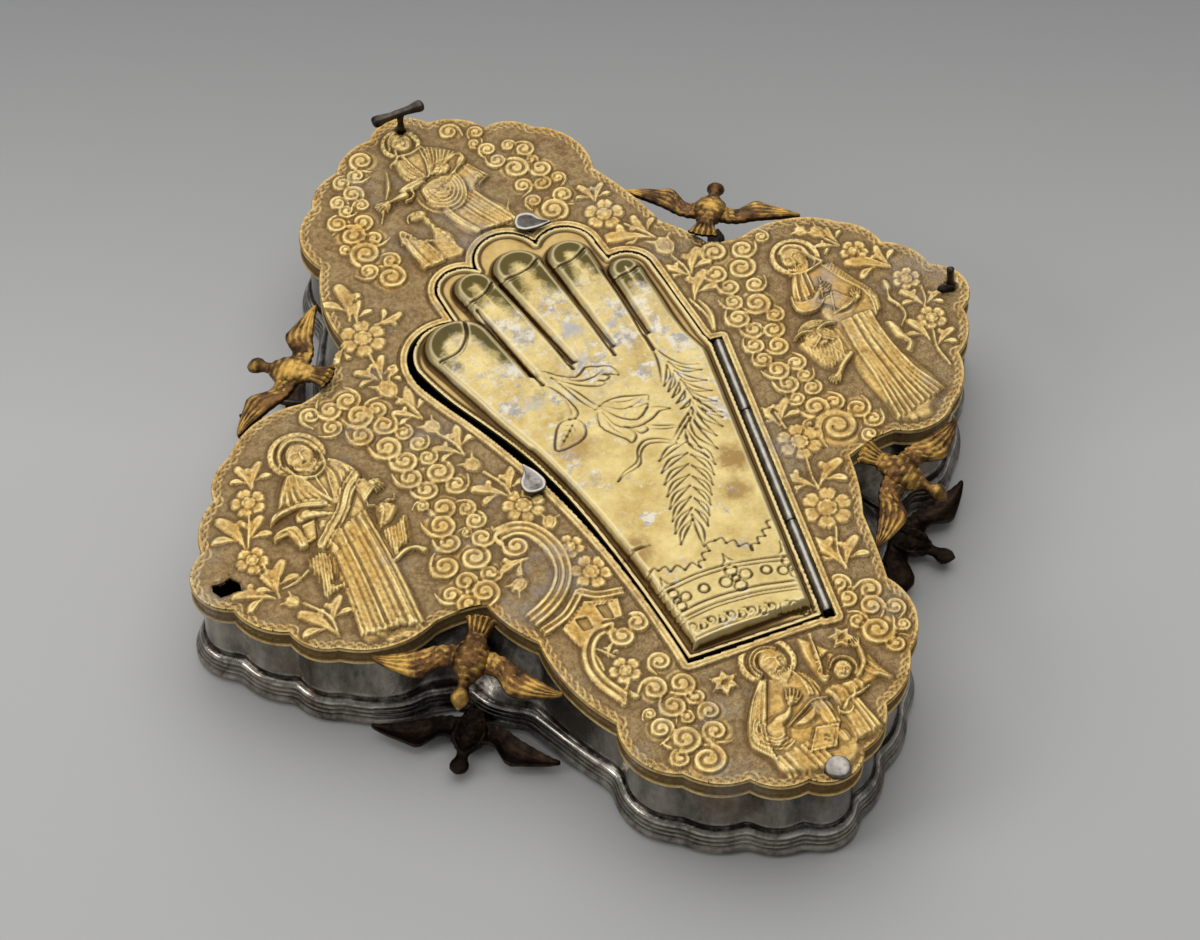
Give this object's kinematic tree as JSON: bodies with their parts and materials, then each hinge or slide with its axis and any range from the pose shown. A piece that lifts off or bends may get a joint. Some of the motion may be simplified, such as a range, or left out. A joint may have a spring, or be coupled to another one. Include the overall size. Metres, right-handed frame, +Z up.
{
  "type": "hand reliquary",
  "caption": "Low lobed cross-shaped silver case with a gilt embossed cover, a hinged door in the shape of an open hand, turning latches and spread birds in the corners.",
  "frame": {"origin": "middle of the underside", "axes": "+Z up, +Y towards the arm that the fingers point to, +X to the right of the hand"},
  "size_m": [0.2749, 0.3062, 0.0464],
  "materials": {
    "tarnished_silver": "tarnished silver",
    "gilt": "worn gilding on silver",
    "pale_gilt": "pale gilding, silver where rubbed",
    "worn_silver": "worn silver",
    "bird_gilt": "cast, worn gilding over brown",
    "bird_dark": "cast, dark",
    "dark_iron": "dark"
  },
  "bodies": {
    "case": {"case_wall": "tarnished_silver", "case_floor": "tarnished_silver", "cover_plate": "gilt", "hinge_knuckle_upper": "worn_silver", "hinge_knuckle_lower": "worn_silver", "hinge_pin": "dark_iron", "top_toggle_pin": "dark_iron", "right_tip_peg": "dark_iron", "bottom_tip_rivet": "worn_silver", "upper_bird_north_east": "bird_gilt", "lower_bird_north_east": "bird_dark", "corner_peg_north_east": "dark_iron", "upper_bird_north_west": "bird_gilt", "lower_bird_north_west": "bird_dark", "corner_peg_north_west": "dark_iron", "upper_bird_south_west": "bird_gilt", "lower_bird_south_west": "bird_dark", "corner_peg_south_west": "dark_iron", "upper_bird_south_east": "bird_gilt", "lower_bird_south_east": "bird_dark", "corner_peg_south_east": "dark_iron"},
    "door": {"hand_door": "pale_gilt", "hinge_knuckle_middle": "worn_silver"},
    "side_latch": {"side_latch": "worn_silver"},
    "top_latch": {"top_latch": "worn_silver"}
  },
  "joints": [
    {"name": "door_hinge", "type": "hinge", "parent": "case", "child": "door", "pos_m": [0.0492, 0.0121, 0.0364], "axis": [0.2007, 0.9797, 0], "range_deg": [0, 120]},
    {"name": "side_latch_pivot", "type": "hinge", "parent": "case", "child": "side_latch", "pos_m": [-0.0302, -0.014, 0.0377], "axis": [0, 0, 1], "range_deg": [-70, 0]},
    {"name": "top_latch_pivot", "type": "hinge", "parent": "case", "child": "top_latch", "pos_m": [0.0176, 0.0862, 0.0377], "axis": [0, 0, 1], "range_deg": [-45, 0]}
  ]
}
